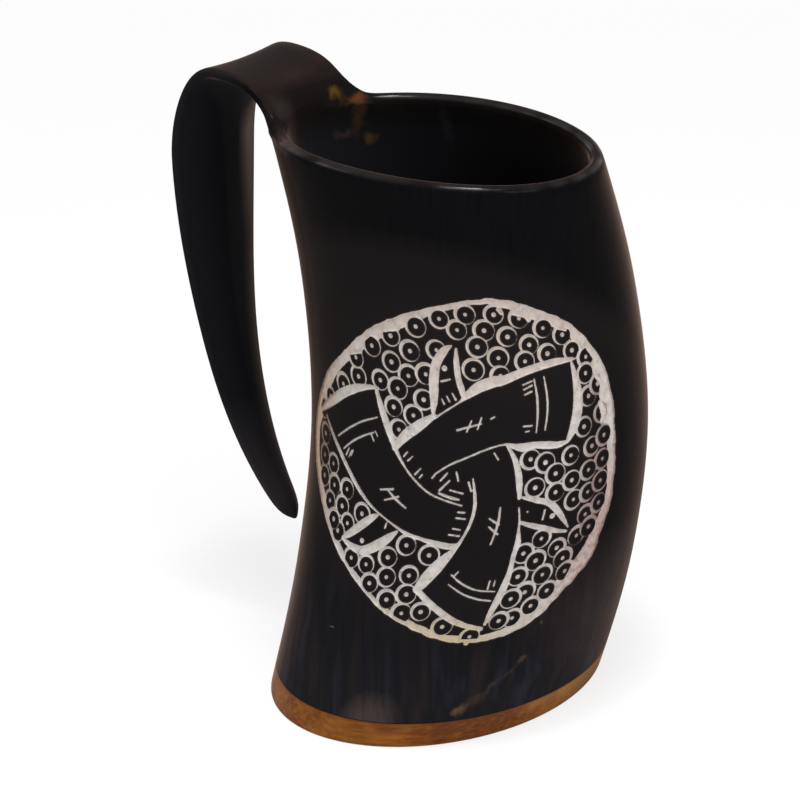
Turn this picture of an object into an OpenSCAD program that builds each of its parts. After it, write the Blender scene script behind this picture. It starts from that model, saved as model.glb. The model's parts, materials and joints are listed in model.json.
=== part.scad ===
// Horn drinking cup: one curved horn wall with a wooden base.
// The handle is a strip of the same wall, left standing above the rim and bent over and down.
// Millimetres, Z up, the base rests on Z = 0 and the handle lies toward -X.

/* [Horn wall] */
// Height of the rim above the table
rim_height = 150; // [130:1:175]
// Half width of the horn along X at the table
base_half_x = 38; // [33:0.1:44]
// Half width of the horn along X at half height
mid_half_x = 42.9; // [38:0.1:49]
// Half width of the horn along X at the rim
rim_half_x = 44.8; // [39:0.1:50]
// Half width of the horn along Y at the table
base_half_y = 49.3; // [42:0.1:55]
// Half width of the horn along Y at half height
mid_half_y = 44.4; // [39:0.1:50]
// Half width of the horn along Y at the rim
rim_half_y = 33.8; // [31:0.1:42]
// Turn of the oval at the table, in degrees
base_turn = -11.7; // [-20:0.1:0]
// Wall thickness at the lower edge of the horn
seam_wall = 3.4; // [2.5:0.1:4.5]
// Wall thickness at the rim
rim_wall = 4.2; // [3:0.1:5]
// Rise of the rim at its two sides above the rim's front
rim_side_rise = 1.1; // [0:0.1:4]

/* [Sway of the horn's centre line] */
// Shift along X at a quarter of the height
sway_x_low = 7.6; // [3:0.1:11]
// Shift along X at half of the height
sway_x_mid = 8.5; // [4:0.1:12]
// Shift along X at three quarters of the height
sway_x_high = 3.9; // [0:0.1:8]
// Shift along X at the rim
sway_x_rim = 0.4; // [-4:0.1:4]
// Shift along Y at a quarter of the height
sway_y_low = 2; // [-2:0.1:5]
// Shift along Y at half of the height
sway_y_mid = 6; // [2:0.1:9]
// Shift along Y at three quarters of the height
sway_y_high = 6; // [2:0.1:9]
// Shift along Y at the rim
sway_y_rim = -3.7; // [-7:0.1:0]

/* [Handle] */
// Height of the crest above the rim, at mid thickness
crest_rise = 7.8; // [6:0.1:16]
// Distance from the rim's wall out to the crest
crest_out = 16.4; // [12:0.1:22]
// Distance from the rim's wall out to the handle's outermost point
handle_reach = 27.5; // [24:0.1:36]
// Drop from the crest to the handle's outermost point
shoulder_drop = 24.8; // [18:0.1:34]
// Height of the tip's end above the table
tip_height = 32.8; // [20:0.1:45]
// Distance that the tip comes back toward the cup
tip_return = 23.6; // [10:0.1:28]
// Lean of the tip toward the cup, in degrees
tip_lean = 40.5; // [20:0.1:55]
// Width of the strip over the crest
crest_width = 32.4; // [26:0.1:38]
// Width of the strip at the outermost point
shoulder_width = 32.4; // [24:0.1:36]
// Width of the strip halfway down to the tip
lower_width = 20.8; // [16:0.1:26]
// Width of the strip near its tip
end_width = 13.2; // [9:0.1:16]
// Width of the tip where its end rounding starts
tip_width = 7.6; // [5:0.1:10]
// Length of the tip's end rounding
tip_round = 5; // [3:0.1:8]
// Thickness of the strip in the middle of the crest
crest_thick = 5; // [4:0.1:7]
// Thickness of the strip halfway down to the tip
lower_thick = 6; // [4:0.1:8]
// Thickness of the strip at its two edges
edge_thick = 2.6; // [2:0.1:3.6]
// Sideways radius of the strip across its width
bow_radius = 57; // [45:1:120]
// Length over which the strip flattens from the rim's curve
bow_blend = 8; // [6:0.5:20]
// Sideways reach of the fillets at the strip's root
root_fillet_side = 4.4; // [2:0.1:7]
// Height of the fillets at the strip's root
root_fillet_up = 5.2; // [3:0.1:10]

/* [Base] */
// Height of the wooden base that shows below the horn
wood_height = 7.6; // [5:0.1:12]
// Height of the plug that stands up inside the horn
plug_height = 8; // [5:0.5:14]
// Rounding of the base's lower edge
base_round = 0.6; // [0.5:0.1:2.5]
// Thickness of the glue film
glue_thick = 0.25; // [0.15:0.05:0.5]
// Depth that the glue film lies back from the outside
glue_recess = 0.3; // [0.1:0.1:1]
// Height and width of the sealing bead inside
bead_size = 2.6; // [1.5:0.1:4]
// Clearance between the glued pieces and the horn's inner face
fit_gap = 0.05; // [0.02:0.01:0.2]

/* [Hidden] */

// Counts of the facets
strip_columns = 14;
wall_columns = 48;
wall_rows = 17;
rise_rows = 14;
fold_rows = 10;
fall_rows = 17;
round_steps = 4;

// Shares of the height at which the centre line's shifts are given
sway_shares = [0, 0.25, 0.5, 0.75, 1];
// Pulls of the handle's curve, as shares of the span that each belongs to
root_pull_share = 0.32;
crest_pull_share = 0.67;
fold_pull_share = 0.53;
fall_pull_share = 0.36;
tip_pull_share = 0.33;
// Places along the strip at which its widths are given, as shares of the part below the shoulder
lower_share = 0.5;
end_share = 0.8;
// Least width and thickness of the tip's end, as a share of its full size
tip_least_share = 0.3;
// Crowding of the rows toward the strip's root and tip
root_crowd = 1.5;
tip_crowd = 1.35;
// Side toward which the handle lies
handle_side = 180;

seam_height = wood_height + glue_thick;
plug_top = seam_height + plug_height;

// Value of a parabola through a start, a middle and an end
function three(start, middle, end, t) =
    start * (1 - t) * (1 - 2 * t) + 4 * middle * t * (1 - t) + end * t * (2 * t - 1);

// Smooth curve through given places and values
function span_slope(places, values, k) =
    (values[k + 1] - values[k]) / (places[k + 1] - places[k]);
function inner_slope(places, values, k) =
    let (before = places[k] - places[k - 1])
    let (after = places[k + 1] - places[k])
    (span_slope(places, values, k - 1) * after + span_slope(places, values, k) * before) / (before + after);
function place_slope(places, values, k) =
    let (last = len(places) - 1)
    k == 0 ? 1.5 * span_slope(places, values, 0) - 0.5 * inner_slope(places, values, 1) :
    k == last ? 1.5 * span_slope(places, values, last - 1) - 0.5 * inner_slope(places, values, last - 1) :
    inner_slope(places, values, k);
function span_of(places, t, k = 0) =
    k >= len(places) - 2 || t < places[k + 1] ? k : span_of(places, t, k + 1);
function smooth_value(places, values, t) =
    let (k = span_of(places, t))
    let (span = places[k + 1] - places[k])
    let (u = (t - places[k]) / span)
    (2 * pow(u, 3) - 3 * pow(u, 2) + 1) * values[k]
    + (pow(u, 3) - 2 * pow(u, 2) + u) * span * place_slope(places, values, k)
    + (3 * pow(u, 2) - 2 * pow(u, 3)) * values[k + 1]
    + (pow(u, 3) - pow(u, 2)) * span * place_slope(places, values, k + 1);

// Smooth step from 0 to 1
function ease(t) = let (u = min(max(t, 0), 1)) u * u * (3 - 2 * u);

function unit(v) = v / norm(v);

// Horn wall: an oval that changes its widths and turns while its centre sways
sway_x_list = [0, sway_x_low, sway_x_mid, sway_x_high, sway_x_rim];
sway_y_list = [0, sway_y_low, sway_y_mid, sway_y_high, sway_y_rim];
function wall_thick(z) =
    seam_wall + (rim_wall - seam_wall) * (z - seam_height) / (rim_height - seam_height);
function wall_point(angle, z, inset) =
    let (t = z / rim_height)
    let (half_x = three(base_half_x, mid_half_x, rim_half_x, t) - inset)
    let (half_y = three(base_half_y, mid_half_y, rim_half_y, t) - inset)
    let (turn = base_turn * (1 - t))
    let (along = half_x * cos(angle - turn))
    let (across = half_y * sin(angle - turn))
    [smooth_value(sway_shares, sway_x_list, t) + along * cos(turn) - across * sin(turn),
     smooth_value(sway_shares, sway_y_list, t) + along * sin(turn) + across * cos(turn),
     z];

// Height of the wall's edge below the rounded lip
function lip_start(angle) = rim_height - rim_wall / 2 + rim_side_rise * pow(sin(angle), 2);

// Angles of the wall's columns: the strip's first, then the rest of the way round
strip_edge = edge_thick / 2;
root_half = crest_width / 2 + root_fillet_side - strip_edge;
strip_angle = asin(root_half / (rim_half_y - rim_wall / 2));
columns = strip_columns + wall_columns;
function column_angle(i) =
    i <= strip_columns ? handle_side - strip_angle + 2 * strip_angle * i / strip_columns :
    handle_side + strip_angle + (360 - 2 * strip_angle) * (i - strip_columns) / wall_columns;

// Rows of the wall, from the seam up to the lip
function row_height(r, angle) =
    seam_height + (lip_start(angle) - seam_height) * r / wall_rows;
outer_wall = [for (r = [0 : wall_rows]) for (i = [0 : columns - 1])
    let (angle = column_angle(i))
    wall_point(angle, row_height(r, angle), 0)];
inner_wall = [for (r = [0 : wall_rows]) for (i = [0 : columns - 1])
    let (angle = column_angle(i))
    let (z = row_height(r, angle))
    wall_point(angle, z, wall_thick(z))];

// Centre line of the strip in the plane through the mouth's centre: [X, Z]
function curve_point(a, b, c, d, t) =
    a * pow(1 - t, 3) + 3 * b * pow(1 - t, 2) * t + 3 * c * (1 - t) * pow(t, 2) + d * pow(t, 3);
function curve_heading(a, b, c, d, t) =
    unit((b - a) * pow(1 - t, 2) + 2 * (c - b) * (1 - t) * t + (d - c) * pow(t, 2));
root_z = lip_start(handle_side);
function wall_middle(z) = let (p = wall_point(handle_side, z, wall_thick(z) / 2)) [p[0], p[2]];
root = wall_middle(root_z);
root_heading = unit(root - wall_middle(root_z - rim_wall));
crest = [root[0] - crest_out, rim_height + crest_rise];
shoulder = [root[0] - handle_reach, crest[1] - shoulder_drop];
tip = [shoulder[0] + tip_return, tip_height];
tip_heading = [sin(tip_lean), -cos(tip_lean)];
rise_span = norm(crest - root);
fall_span = norm(tip - shoulder);
rise_curve = [root, root + root_heading * rise_span * root_pull_share,
    crest + [rise_span * crest_pull_share, 0], crest];
fold_curve = [crest, crest - [(crest[0] - shoulder[0]) * fold_pull_share, 0],
    shoulder + [0, (crest[1] - shoulder[1]) * fold_pull_share], shoulder];
fall_curve = [shoulder, shoulder - [0, fall_span * fall_pull_share],
    tip - tip_heading * fall_span * tip_pull_share, tip];
strip_rows = rise_rows + fold_rows + fall_rows;
function strip_curve(k) = k <= rise_rows ? rise_curve : k <= rise_rows + fold_rows ? fold_curve : fall_curve;
function strip_step(k) =
    k <= rise_rows ? pow(k / rise_rows, root_crowd) :
    k <= rise_rows + fold_rows ? (k - rise_rows) / fold_rows :
    1 - pow(1 - (k - rise_rows - fold_rows) / fall_rows, tip_crowd);
strip_line = [for (k = [0 : strip_rows])
    let (c = strip_curve(k))
    curve_point(c[0], c[1], c[2], c[3], strip_step(k))];
strip_heading = [for (k = [0 : strip_rows])
    let (c = strip_curve(k))
    curve_heading(c[0], c[1], c[2], c[3], strip_step(k))];
strip_length = [for (k = 0, s = 0; k <= strip_rows;
    s = s + (k < strip_rows ? norm(strip_line[k + 1] - strip_line[k]) : 0), k = k + 1) s];
full_length = strip_length[strip_rows];
crest_length = strip_length[rise_rows];
shoulder_length = strip_length[rise_rows + fold_rows];

// Half width of the strip's sheet at a length along it
width_places = [0, crest_length, shoulder_length,
    shoulder_length + (full_length - shoulder_length) * lower_share,
    shoulder_length + (full_length - shoulder_length) * end_share, full_length];
width_values = [crest_width, crest_width, shoulder_width, lower_width, end_width, tip_width];
function end_share_at(s) =
    let (over = max(0, s - full_length + tip_round) / tip_round)
    max(tip_least_share, sqrt(max(0, 1 - over * over)));
function strip_half(s) =
    let (left = min(max(1 - s / root_fillet_up, 0), 1))
    (smooth_value(width_places, width_values, s) / 2 - strip_edge) * end_share_at(s)
    + root_fillet_side * (1 - sqrt(1 - left * left));

// Thickness of the strip: full along its middle, thin at its edges
thick_places = [0, crest_length, (shoulder_length + full_length) / 2, full_length];
thick_values = [rim_wall, crest_thick, lower_thick, crest_thick];
function strip_thick(s, f) =
    let (blend = ease(s / bow_blend))
    let (edge = rim_wall + (edge_thick - rim_wall) * blend)
    let (middle = smooth_value(thick_places, thick_values, s))
    (edge + (middle - edge) * (1 - f * f)) * end_share_at(s);

// Sideways curve of the strip: the rim's own at the root, flatter further on
rim_bend = (rim_half_x - rim_wall / 2) / pow(rim_half_y - rim_wall / 2, 2);
function strip_bow(s, y) =
    let (blend = ease(s / bow_blend))
    let (bend = (1 - blend) * rim_bend + blend / bow_radius)
    (1 - sqrt(1 - pow(bend * y, 2))) / bend;

// Point of the plain strip: side is 1 on the outer wall's side and -1 on the inner one
function plain_point(k, j, side) =
    let (s = strip_length[k])
    let (f = sin(column_angle(j) - handle_side) / sin(strip_angle))
    let (y = -f * strip_half(s))
    let (heading = strip_heading[k])
    let (inward = [heading[1], -heading[0]])
    let (shift = strip_bow(s, y) - side * strip_thick(s, f) / 2)
    [strip_line[k][0] + inward[0] * shift, sway_y_rim + y, strip_line[k][1] + inward[1] * shift];

// Point of the strip: it starts exactly on the wall's last row and runs into the plain strip
function strip_point(k, j, side) =
    let (angle = column_angle(j))
    let (z = lip_start(angle))
    let (start = wall_point(angle, z, side > 0 ? 0 : wall_thick(z)))
    let (left = 1 - ease(strip_length[k] / bow_blend))
    plain_point(k, j, side) + left * (start - plain_point(0, j, side));
outer_strip = [for (k = [1 : strip_rows]) for (j = [0 : strip_columns]) strip_point(k, j, 1)];
inner_strip = [for (k = [1 : strip_rows]) for (j = [0 : strip_columns]) strip_point(k, j, -1)];

// Places of the points in the horn's list
wall_count = len(outer_wall);
strip_count = len(outer_strip);
sheet_points = concat(outer_wall, inner_wall, outer_strip, inner_strip);
function outer_at(k, j) =
    k == 0 ? wall_rows * columns + j :
    2 * wall_count + (k - 1) * (strip_columns + 1) + j;
function inner_at(k, j) =
    k == 0 ? wall_count + wall_rows * columns + j :
    2 * wall_count + strip_count + (k - 1) * (strip_columns + 1) + j;

// The free edge: round the rim, up the strip, across its tip and back
edge_outer = concat(
    [for (i = [strip_columns : columns]) wall_rows * columns + i % columns],
    [for (k = [1 : strip_rows]) outer_at(k, 0)],
    [for (j = [1 : strip_columns]) outer_at(strip_rows, j)],
    [for (k = [strip_rows - 1 : -1 : 1]) outer_at(k, strip_columns)]);
edge_inner = concat(
    [for (i = [strip_columns : columns]) wall_count + wall_rows * columns + i % columns],
    [for (k = [1 : strip_rows]) inner_at(k, 0)],
    [for (j = [1 : strip_columns]) inner_at(strip_rows, j)],
    [for (k = [strip_rows - 1 : -1 : 1]) inner_at(k, strip_columns)]);
edge_count = len(edge_outer);
function edge_middle(b) =
    let (c = (b + edge_count) % edge_count)
    (sheet_points[edge_outer[c]] + sheet_points[edge_inner[c]]) / 2;
function edge_way(b) =
    let (half = (sheet_points[edge_outer[b]] - sheet_points[edge_inner[b]]) / 2)
    let (run = edge_middle(b + 1) - edge_middle(b - 1))
    unit(cross(half, run)) * norm(half);
lip_points = [for (l = [1 : round_steps - 1]) for (b = [0 : edge_count - 1])
    let (angle = 180 * l / round_steps)
    let (half = (sheet_points[edge_outer[b]] - sheet_points[edge_inner[b]]) / 2)
    edge_middle(b) + half * cos(angle) + edge_way(b) * sin(angle)];
lip_first = len(sheet_points);
function lip_at(l, b) =
    let (c = b % edge_count)
    l == 0 ? edge_outer[c] : l == round_steps ? edge_inner[c] : lip_first + (l - 1) * edge_count + c;

// Two triangles of a four-cornered patch, turned over where flip is set
function patch(a, b, c, d, flip) = flip ? [[a, b, c], [a, c, d]] : [[a, c, b], [a, d, c]];
function wall_patch(r, i, first, flip) =
    let (next = (i + 1) % columns)
    patch(first + r * columns + i, first + r * columns + next,
        first + (r + 1) * columns + next, first + (r + 1) * columns + i, flip);

horn_faces = [
    for (r = [0 : wall_rows - 1]) for (i = [0 : columns - 1]) each wall_patch(r, i, 0, false),
    for (r = [0 : wall_rows - 1]) for (i = [0 : columns - 1]) each wall_patch(r, i, wall_count, true),
    for (k = [0 : strip_rows - 1]) for (j = [0 : strip_columns - 1])
        each patch(outer_at(k, j), outer_at(k, j + 1), outer_at(k + 1, j + 1), outer_at(k + 1, j), false),
    for (k = [0 : strip_rows - 1]) for (j = [0 : strip_columns - 1])
        each patch(inner_at(k, j), inner_at(k, j + 1), inner_at(k + 1, j + 1), inner_at(k + 1, j), true),
    for (l = [0 : round_steps - 1]) for (b = [0 : edge_count - 1])
        each patch(lip_at(l, b), lip_at(l, b + 1), lip_at(l + 1, b + 1), lip_at(l + 1, b), false),
    for (i = [0 : columns - 1])
        each patch(wall_count + i, wall_count + (i + 1) % columns, (i + 1) % columns, i, false)];

// The horn wall and its handle, one piece of horn
module horn_body() {
    color("#1d1a19")
    polyhedron(points = concat(sheet_points, lip_points), faces = horn_faces, convexity = 8);
}

// Points of a ring that follows the horn at each [height, inset] of a list
function ring_points(steps) = [for (step = steps) for (i = [0 : columns - 1])
    wall_point(column_angle(i), step[0], step[1])];

// The wooden base: a disc flush with the horn, and a plug that stands up inside it
plug_inset = seam_wall + fit_gap + glue_thick;
base_steps = concat(
    [for (l = [0 : round_steps])
        let (angle = 90 * l / round_steps)
        [base_round * (1 - cos(angle)), base_round * (1 - sin(angle))]],
    [[wood_height, 0], [wood_height, plug_inset], [plug_top, plug_inset]]);
base_last = len(base_steps) - 1;
function ring_middle(z) = (wall_point(0, z, 0) + wall_point(handle_side, z, 0)) / 2;
module wood_base() {
    bottom_middle = len(base_steps) * columns;
    top_middle = bottom_middle + 1;
    color("#9a6128")
    polyhedron(points = concat(ring_points(base_steps), [ring_middle(0), ring_middle(plug_top)]),
        faces = [
            for (r = [0 : base_last - 1]) for (i = [0 : columns - 1]) each wall_patch(r, i, 0, false),
            for (i = [0 : columns - 1]) [bottom_middle, i, (i + 1) % columns],
            for (i = [0 : columns - 1]) [top_middle, base_last * columns + (i + 1) % columns, base_last * columns + i]],
        convexity = 4);
}

// A closed ring whose section is a list of [height, inset], listed upward on the outside
module ring(steps) {
    last = len(steps);
    polyhedron(points = ring_points(steps),
        faces = [for (r = [0 : last - 1]) for (i = [0 : columns - 1])
            let (next = (i + 1) % columns)
            let (up = (r + 1) % last)
            each patch(r * columns + i, r * columns + next, up * columns + next, up * columns + i, false)],
        convexity = 4);
}

// The glue film: flat on the shoulder, then up between the plug and the horn
module glue_film() {
    color("#2a1a12")
    ring([[wood_height, glue_recess], [seam_height, glue_recess], [seam_height, seam_wall + fit_gap],
        [plug_top, wall_thick(plug_top) + fit_gap], [plug_top, plug_inset], [wood_height, plug_inset]]);
}

// The sealing bead: a small fillet between the plug's top and the wall
bead_bulge_share = 0.62;
module sealing_bead() {
    near = wall_thick(plug_top) + fit_gap;
    color("#6b5236")
    ring([[plug_top, near], [plug_top + bead_size, wall_thick(plug_top + bead_size) + fit_gap],
        [plug_top + bead_size * (1 - bead_bulge_share), near + bead_size * (1 - bead_bulge_share)],
        [plug_top, near + bead_size]]);
}

horn_body();
wood_base();
glue_film();
sealing_bead();
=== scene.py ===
# %% [markdown]
# # A carved horn drinking cup
# The cup is one length of polished black horn, closed at the bottom with a disc of brown wood.
# The handle is a strip of the same horn, left standing above the rim and bent over.
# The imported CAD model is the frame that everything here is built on, and it is loaded first.

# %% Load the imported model
import json
import math
import bpy
import numpy as np
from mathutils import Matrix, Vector

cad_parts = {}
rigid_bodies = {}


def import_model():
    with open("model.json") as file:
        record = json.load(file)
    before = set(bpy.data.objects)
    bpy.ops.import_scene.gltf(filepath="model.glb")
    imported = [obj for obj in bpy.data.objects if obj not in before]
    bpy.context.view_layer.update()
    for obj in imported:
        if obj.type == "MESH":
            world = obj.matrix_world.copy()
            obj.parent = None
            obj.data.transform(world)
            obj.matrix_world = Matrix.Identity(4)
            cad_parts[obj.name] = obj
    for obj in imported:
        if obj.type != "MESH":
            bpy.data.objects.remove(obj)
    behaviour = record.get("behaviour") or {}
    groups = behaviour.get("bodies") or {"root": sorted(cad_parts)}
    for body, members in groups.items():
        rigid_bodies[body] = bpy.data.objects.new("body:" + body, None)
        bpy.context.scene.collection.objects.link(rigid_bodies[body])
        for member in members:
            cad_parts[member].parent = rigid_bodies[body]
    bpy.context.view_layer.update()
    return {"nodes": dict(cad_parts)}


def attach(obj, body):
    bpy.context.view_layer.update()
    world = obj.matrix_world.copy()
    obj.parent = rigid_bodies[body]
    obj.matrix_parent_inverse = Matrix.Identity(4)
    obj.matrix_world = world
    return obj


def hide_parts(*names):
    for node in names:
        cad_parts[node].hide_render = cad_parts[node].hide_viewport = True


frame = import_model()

MM = 0.001  # Blender works in metres and the cup is thought of in millimetres

# %% [markdown]
# ## The camera
# The photograph looks at the cup from 37 degrees round to the right of its front and 24 degrees
# above, with a long lens about 0.74 m away. The camera is placed by those three numbers and aimed
# at a point near the middle of the cup, so it needs no shift.

# %% Camera
AZIMUTH, ELEVATION = math.radians(37.0), math.radians(23.6)
DISTANCE = 742.9 * MM
LENS, FILM_WIDTH = 129.4, 36
AIM_RIGHT, AIM_UP = -10.27 * MM, 78.1 * MM

back = Vector((math.sin(AZIMUTH) * math.cos(ELEVATION),
               -math.cos(AZIMUTH) * math.cos(ELEVATION), math.sin(ELEVATION)))
right = Vector((math.cos(AZIMUTH), math.sin(AZIMUTH), 0))
target = right * AIM_RIGHT + Vector((0, 0, AIM_UP))

bpy.ops.object.camera_add(location=target + back * DISTANCE)
camera = bpy.context.object
camera.rotation_euler = back.to_track_quat("Z", "Y").to_euler()
camera.data.lens, camera.data.sensor_width = LENS, FILM_WIDTH
camera.data.clip_start, camera.data.clip_end = 0.01, 20
bpy.context.scene.camera = camera
print("camera at, mm:", [round(v / MM, 1) for v in camera.location])

# %% [markdown]
# ## Small helpers
# Colours are written as they look on a screen (sRGB hex) and turned to the linear values that
# Blender mixes with. One function adds any shader node with its settings and its links.

# %% Helpers for colours and nodes
def linear(code):
    """A screen colour such as "8a5a2c" as linear red, green, blue and 1."""
    parts = [int(code[i : i + 2], 16) / 255 for i in (0, 2, 4)]
    return (*[c / 12.92 if c <= 0.04045 else ((c + 0.055) / 1.055) ** 2.4 for c in parts], 1)


def add(tree, kind, settings, feeds):
    """Adds a shader node. Settings are its options, and for a colour ramp also its stops, which
    are pairs of a place and a colour. Feeds go to its inputs, by name or in order: numbers,
    colours, sockets, or nodes, which give their first output that is in use."""
    node = tree.nodes.new("ShaderNode" + kind)
    for name, value in settings.items():
        if name != "stops":
            setattr(node, name, value)
            continue
        marks = node.color_ramp.elements
        marks[0].position, marks[1].position = value[0][0], value[-1][0]
        for place, _ in value[1:-1]:
            marks.new(place)
        for mark, (_, code) in zip(marks, value):
            mark.color = linear(code)
    named = isinstance(feeds, dict)
    inputs = node.inputs if named else [socket for socket in node.inputs if socket.enabled]
    for name, value in feeds.items() if named else enumerate(feeds):
        if isinstance(value, bpy.types.Node):
            value = next(socket for socket in value.outputs if socket.enabled)
        if isinstance(value, bpy.types.NodeSocket):
            tree.links.new(value, inputs[name])
        else:
            inputs[name].default_value = linear(value) if isinstance(value, str) else value
    return node


def new_material(name):
    """An empty material and its node tree, ready for nodes."""
    material = bpy.data.materials.new(name)
    material.use_nodes = True
    material.node_tree.nodes.clear()
    return material, material.node_tree


print("linear value of mid grey 808080:", round(linear("808080")[0], 3))

# %% [markdown]
# ## Studio: floor, surroundings and lamps
# The cup stands on a plain pale floor in a white surround, and lamps would be the usual way to make
# both look white. That would bleach the cup too, so here a Light Path node shows the surround white
# to the camera, in gloss and through glass, and it gives everything else a soft fill light.

# %% World
FILL = 0.55  # strength of the surround as a light, where 1 is white
world = bpy.data.worlds.new("studio_surround")
bpy.context.scene.world = world
world.use_nodes = True
sky = world.node_tree
sky.nodes.clear()
ray = add(sky, "LightPath", {}, {}).outputs
seen = add(sky, "Math", {"operation": "MAXIMUM"}, [ray["Is Camera Ray"], ray["Is Glossy Ray"]])
seen = add(sky, "Math", {"operation": "MAXIMUM"}, [seen, ray["Is Transmission Ray"]])
level = add(sky, "MapRange", {}, {"Value": seen, "To Min": FILL, "To Max": 1.0})
surround = add(sky, "Background", {}, {"Color": "ffffff", "Strength": level})
add(sky, "OutputWorld", {}, {"Surface": surround})
print("world nodes:", len(sky.nodes))

# %% [markdown]
# The floor is matt white paper. It keeps the cup's shadow, and the camera sees a share of plain
# white in it, which grows with the distance from the cup until the far floor meets the surround.

# %% Floor
bpy.ops.mesh.primitive_plane_add(size=6, location=(0, 0, -0.02 * MM))
floor = bpy.context.object
floor.name = "studio_floor"
paper, tree = new_material("matt_white_paper")
ray = add(tree, "LightPath", {}, {}).outputs
matt = add(tree, "BsdfDiffuse", {}, {"Color": "f2f2f2"})
glow = add(tree, "Emission", {}, {"Color": "ffffff", "Strength": 1.0})
place = add(tree, "TexCoord", {}, {}).outputs["Object"]
away = add(tree, "VectorMath", {"operation": "LENGTH"}, [place])
NEAR, FAR, NEAR_SHARE = 0.3, 1.1, 0.75  # metres from the cup, and the share of plain white there
fade = add(tree, "MapRange", {}, [away, NEAR, FAR, NEAR_SHARE, 1.0])
white = add(tree, "Math", {"operation": "MULTIPLY"}, [ray["Is Camera Ray"], fade])
both = add(tree, "MixShader", {}, [white, matt, glow])
add(tree, "OutputMaterial", {}, {"Surface": both})
floor.data.materials.append(paper)
print("floor size, m:", [round(v, 2) for v in floor.dimensions])

# %% [markdown]
# Four square lamps light the cup. The one above is large and soft, and a small one beside it draws
# the crisp light on the lip. The right one is stronger than the left, as in the photograph.

# %% Lamps
AIM = Vector((0, 0, 0.09))  # metres: a little above the middle of the cup


def lamp(name, place, size, watts):
    """A square lamp at place, in metres, that faces the cup."""
    bpy.ops.object.light_add(type="AREA", location=place)
    light = bpy.context.object
    light.name = name
    light.rotation_euler = (Vector(place) - AIM).to_track_quat("Z", "Y").to_euler()
    light.data.size, light.data.energy = size, watts


lamp("lamp_above", (0.27, -0.36, 1.1), 0.5, 5)
lamp("lamp_small_above", (0.1, -0.15, 1.1), 0.16, 4.5)
lamp("lamp_right", (1.0, -0.35, 0.6), 0.5, 4)
lamp("lamp_left", (-1.0, -0.6, 0.7), 0.5, 1.5)

# %% [markdown]
# ## From facets to smooth horn
# The CAD solids are made of flat facets, and real horn is scraped and polished until it has none.
# Each piece is a copy of its CAD solid: its loose triangles are merged and turned back into four
# sided faces, its true edges are creased, and one level of Subdivision Surface rounds the rest.
# A smooth copy keeps the exact place and size of the solid, which a new primitive would not.

# %% Copy a CAD solid as a smooth piece
MERGE_UNDER = 0.002 * MM
SHARP_EDGE = math.radians(50)  # a bend over this is a true edge
FLAT_PAIR, SQUARE_PAIR = math.radians(50), math.radians(60)  # limits for pairs of triangles


def only(piece):
    """Selects this object alone, in object mode."""
    if bpy.context.object and bpy.context.object.mode != "OBJECT":
        bpy.ops.object.mode_set(mode="OBJECT")
    bpy.ops.object.select_all(action="DESELECT")
    piece.hide_set(False)
    piece.select_set(True)
    bpy.context.view_layer.objects.active = piece


def smooth_copy(node, name):
    """A merged and subdivided copy of a CAD node, which it then stands for."""
    only(frame["nodes"][node])
    bpy.ops.object.duplicate()
    piece = bpy.context.object
    piece.name = piece.data.name = name
    for key in list(piece.keys()):
        del piece[key]  # the labels of the CAD node
    bpy.ops.object.parent_clear(type="CLEAR_KEEP_TRANSFORM")
    piece.data.materials.clear()
    if piece.data.has_custom_normals:
        bpy.ops.mesh.customdata_custom_splitnormals_clear()
    bpy.ops.object.mode_set(mode="EDIT")
    bpy.ops.mesh.select_mode(type="EDGE")
    bpy.ops.mesh.select_all(action="SELECT")
    bpy.ops.mesh.remove_doubles(threshold=MERGE_UNDER)
    bpy.ops.mesh.normals_make_consistent(inside=False)
    bpy.ops.mesh.tris_convert_to_quads(face_threshold=FLAT_PAIR, shape_threshold=SQUARE_PAIR)
    bpy.ops.mesh.select_all(action="DESELECT")
    bpy.ops.mesh.edges_select_sharp(sharpness=SHARP_EDGE)
    bpy.ops.transform.edge_crease(value=1)
    bpy.ops.object.mode_set(mode="OBJECT")
    rounded = piece.modifiers.new("rounded", "SUBSURF")
    rounded.levels = rounded.render_levels = 1
    bpy.ops.object.modifier_apply(modifier=rounded.name)
    bpy.ops.object.shade_smooth_by_angle(angle=SHARP_EDGE)
    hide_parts(node)
    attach(piece, "root")
    sides = np.zeros(len(piece.data.polygons), int)
    piece.data.polygons.foreach_get("loop_total", sides)
    print(name, "faces:", len(sides), "of them with 4 sides:", int((sides == 4).sum()))
    return piece


# %% [markdown]
# The cup has four pieces: the horn with its handle in one, the wooden disc that closes the bottom,
# the glue between the two, and a bead of resin inside where the disc's plug meets the wall.

# %% Horn, wooden base, glue line and sealing bead
horn = smooth_copy("horn_body", "horn_cup")
base = smooth_copy("wood_base", "wooden_base")
glue = smooth_copy("glue_film", "glue_line")
bead = smooth_copy("sealing_bead", "resin_bead")

# %% [markdown]
# ## The wall's own ruler
# The carving is planned flat, as a carver draws on paper and wraps it round the cup: s runs along
# the wall and h runs up it, both in millimetres. The wall is an oval at every height, whose widths,
# turn and centre change on the way up, and the same numbers made the CAD solid.

# %% The oval wall and its ruler
RIM, SEAM = 150.0, 7.85  # heights of the rim and of the horn's lower edge
HALF_X, HALF_Y = (38.0, 42.9, 44.8), (49.3, 44.4, 33.8)  # at the bottom, half way and at the rim
BASE_TURN = math.radians(-11.7)  # the oval's turn at the bottom, which is gone at the rim
SWAY_X, SWAY_Y = (0, 7.6, 8.5, 3.9, 0.4), (0, 2.0, 6.0, 6.0, -3.7)  # its centres on the way up
ZERO_ANGLE, ZERO_HEIGHT, RULER_RADIUS = math.radians(-60), 75.0, 44.0  # where s and h are 0


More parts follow.
